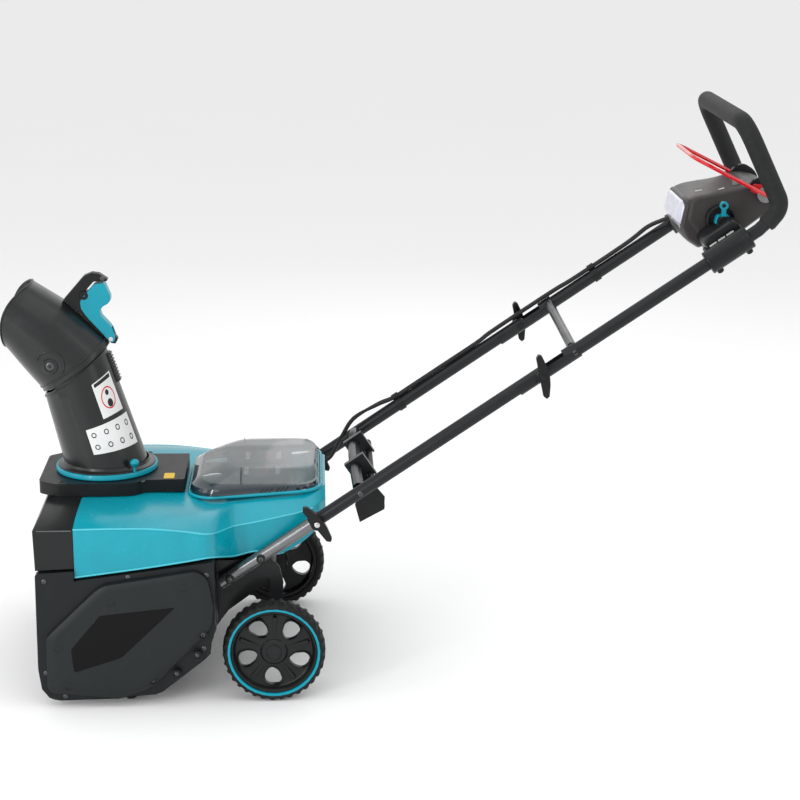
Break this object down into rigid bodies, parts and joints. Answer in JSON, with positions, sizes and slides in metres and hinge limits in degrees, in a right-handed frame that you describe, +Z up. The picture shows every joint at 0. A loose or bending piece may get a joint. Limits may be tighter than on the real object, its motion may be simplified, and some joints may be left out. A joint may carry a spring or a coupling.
{
  "type": "snow blower",
  "caption": "Battery-powered single-stage snow blower with a turning chute and tilting deflector, folding tube handle, control console with a bail, and an auger behind an open mouth.",
  "frame": {"origin": "bottom centre of the bounding box, on the ground between the tyres and the scraper", "axes": "+Z up, +Y back to the operator's handle, +X to the operator's left"},
  "size_m": [0.5684, 1.4468, 1.074],
  "materials": {
    "teal_shell": "moulded plastic in a clean teal with a soft sheen",
    "teal_lever": "small teal moulded levers",
    "black_cover": "fine-grained black moulded plastic",
    "side_panel": "dark moulded panels with a slight sheen",
    "frame_paint": "black powder-coated steel plate",
    "tube_paint": "dark gunmetal powder coat on steel tube",
    "chute_plastic": "satin black moulded plastic",
    "smoked_lid": "grey smoked lid over a darker base",
    "battery_case": "dark battery cases",
    "bare_steel": "turned and drawn steel",
    "motor_can": "motor can",
    "auger_rubber": "reinforced black rubber",
    "pulley_plastic": "moulded belt pulley",
    "tyre_rubber": "solid moulded black tyre",
    "wheel_plastic": "black moulded wheel with a teal band at the rim",
    "knob_plastic": "black moulded knobs and shovel",
    "grip_foam": "dark foam grip",
    "console_plastic": "dark grey moulded console",
    "lamp_lens": "pale lens over the lamp",
    "bail_paint": "glossy red coated wire",
    "cable_jacket": "black cable jacket"
  },
  "bodies": {
    "chassis": {"auger_housing": "black_cover", "scraper_bar": "black_cover", "side_plate_left": "frame_paint", "side_plate_right": "frame_paint", "side_cover_left": "side_panel", "side_cover_right": "side_panel", "belt_cover": "side_panel", "rear_chassis": "black_cover", "body_shell": "teal_shell", "front_hood": "black_cover", "top_cover": "black_cover", "chute_collar": "teal_shell", "battery_left": "battery_case", "battery_right": "battery_case", "motor": "motor_can", "drive_belt": "auger_rubber", "axle": "bare_steel", "auger_bearing_left": "bare_steel", "auger_bearing_right": "bare_steel", "axle_bracket_left": "frame_paint", "axle_bracket_right": "frame_paint", "lower_rail_left": "tube_paint", "lower_rail_right": "tube_paint"},
    "wheel_left": {"tyre_left": "tyre_rubber", "wheel_hub_left": "wheel_plastic"},
    "wheel_right": {"tyre_right": "tyre_rubber", "wheel_hub_right": "wheel_plastic"},
    "auger": {"auger_shaft": "bare_steel", "auger_flight_left": "auger_rubber", "auger_flight_right": "auger_rubber", "auger_pulley": "pulley_plastic"},
    "motor_rotor": {"motor_rotor": "bare_steel"},
    "chute": {"chute_tube": "chute_plastic"},
    "chute_lock": {"chute_lock": "teal_lever"},
    "deflector": {"deflector_hood": "chute_plastic", "deflector_bracket": "chute_plastic"},
    "deflector_trigger": {"deflector_trigger": "teal_lever"},
    "battery_lid": {"battery_lid": "smoked_lid"},
    "lower_handle": {"middle_rail_left": "tube_paint", "middle_rail_right": "tube_paint", "lower_cross_bar": "tube_paint", "signal_cable_lower": "cable_jacket", "power_cable_lower": "cable_jacket"},
    "clean_out_tool": {"clean_out_tool": "knob_plastic"},
    "lower_knob_left": {"lower_clamp_knob_left": "knob_plastic"},
    "lower_knob_right": {"lower_clamp_knob_right": "knob_plastic"},
    "upper_handle": {"upper_tube": "tube_paint", "upper_cross_bar": "tube_paint", "handle_grip": "grip_foam", "console_base": "console_plastic", "console_cover": "console_plastic", "headlight_lens": "lamp_lens", "signal_cable_upper": "cable_jacket", "power_cable_upper": "cable_jacket"},
    "upper_knob_left": {"upper_clamp_knob_left": "knob_plastic"},
    "upper_knob_right": {"upper_clamp_knob_right": "knob_plastic"},
    "bail": {"bail_lever": "bail_paint"},
    "start_button": {"start_button": "console_plastic"},
    "lock_lever_left": {"lock_lever_left": "teal_lever"},
    "lock_lever_right": {"lock_lever_right": "teal_lever"}
  },
  "joints": [
    {"name": "lower_fold", "type": "hinge", "parent": "chassis", "child": "lower_handle", "pos_m": [-0.00715, -0.13638, 0.329], "axis": [1, 0, 0], "range_deg": [0, 30], "deforming": ["signal_cable_lower", "power_cable_lower"]},
    {"name": "upper_fold", "type": "hinge", "parent": "lower_handle", "child": "upper_handle", "pos_m": [-0.00715, 0.27448, 0.60508], "axis": [1, 0, 0], "range_deg": [0, 100], "deforming": ["signal_cable_upper", "power_cable_upper"]},
    {"name": "wheel_left_spin", "type": "hinge", "parent": "chassis", "child": "wheel_left", "pos_m": [0.24285, -0.21838, 0.095], "axis": [1, 0, 0], "continuous": true},
    {"name": "wheel_right_spin", "type": "hinge", "parent": "chassis", "child": "wheel_right", "pos_m": [-0.25715, -0.21838, 0.095], "axis": [1, 0, 0], "continuous": true},
    {"name": "auger_spin", "type": "hinge", "parent": "chassis", "child": "auger", "pos_m": [-0.00715, -0.53638, 0.122], "axis": [1, 0, 0], "continuous": true},
    {"name": "rotor_spin", "type": "hinge", "parent": "chassis", "child": "motor_rotor", "pos_m": [0.25485, -0.39438, 0.196], "axis": [1, 0, 0], "continuous": true},
    {"name": "chute_turn", "type": "hinge", "parent": "chassis", "child": "chute", "pos_m": [-0.00715, -0.53938, 0.384], "axis": [0, 0, 1], "range_deg": [-95, 95]},
    {"name": "chute_lock_turn", "type": "hinge", "parent": "chute", "child": "chute_lock", "pos_m": [0.06485, -0.48038, 0.39], "axis": [0, 0, 1], "range_deg": [0, 60]},
    {"name": "deflector_tilt", "type": "hinge", "parent": "chute", "child": "deflector", "pos_m": [-0.00715, -0.63038, 0.596], "axis": [1, 0, 0], "range_deg": [0, 30]},
    {"name": "trigger_squeeze", "type": "hinge", "parent": "deflector", "child": "deflector_trigger", "pos_m": [-0.00715, -0.52238, 0.632], "axis": [1, 0, 0], "range_deg": [0, 7], "stiffness_Nm_per_rad": 0.6, "springref_deg": -8.59},
    {"name": "lid_open", "type": "hinge", "parent": "chassis", "child": "battery_lid", "pos_m": [-0.00715, -0.37438, 0.362], "axis": [1, 0, 0], "range_deg": [0, 80]},
    {"name": "tool_release", "type": "slide", "parent": "lower_handle", "child": "clean_out_tool", "axis": [0, 0.5577, -0.83], "range_m": [0, 0.06]},
    {"name": "lower_knob_left_turn", "type": "hinge", "parent": "chassis", "child": "lower_knob_left", "pos_m": [0.19285, -0.13638, 0.329], "axis": [1, 0, 0], "range_deg": [-180, 180]},
    {"name": "lower_knob_right_turn", "type": "hinge", "parent": "chassis", "child": "lower_knob_right", "pos_m": [-0.20715, -0.13638, 0.329], "axis": [1, 0, 0], "range_deg": [-180, 180]},
    {"name": "upper_knob_left_turn", "type": "hinge", "parent": "lower_handle", "child": "upper_knob_left", "pos_m": [0.19285, 0.27448, 0.60508], "axis": [1, 0, 0], "range_deg": [-180, 180]},
    {"name": "upper_knob_right_turn", "type": "hinge", "parent": "lower_handle", "child": "upper_knob_right", "pos_m": [-0.20715, 0.27448, 0.60508], "axis": [1, 0, 0], "range_deg": [-180, 180]},
    {"name": "bail_squeeze", "type": "hinge", "parent": "upper_handle", "child": "bail", "pos_m": [-0.00715, 0.69362, 0.913], "axis": [1, 0, 0], "range_deg": [-30, 0], "stiffness_Nm_per_rad": 0.8, "springref_deg": 8.59},
    {"name": "start_press", "type": "slide", "parent": "upper_handle", "child": "start_button", "axis": [0, 0, -1], "range_m": [0, 0.004], "stiffness_N_per_m": 300, "springref_m": -0.002},
    {"name": "lock_lever_left_pull", "type": "hinge", "parent": "upper_handle", "child": "lock_lever_left", "pos_m": [0.12085, 0.61162, 0.868], "axis": [1, 0, 0], "range_deg": [0, 15], "stiffness_Nm_per_rad": 0.1, "springref_deg": -11.46},
    {"name": "lock_lever_right_pull", "type": "hinge", "parent": "upper_handle", "child": "lock_lever_right", "pos_m": [-0.13515, 0.61162, 0.868], "axis": [1, 0, 0], "range_deg": [0, 15], "stiffness_Nm_per_rad": 0.1, "springref_deg": -11.46}
  ],
  "couplings": [
    {"joint": "rotor_spin", "follows": "auger_spin", "ratio": 2.42}
  ]
}
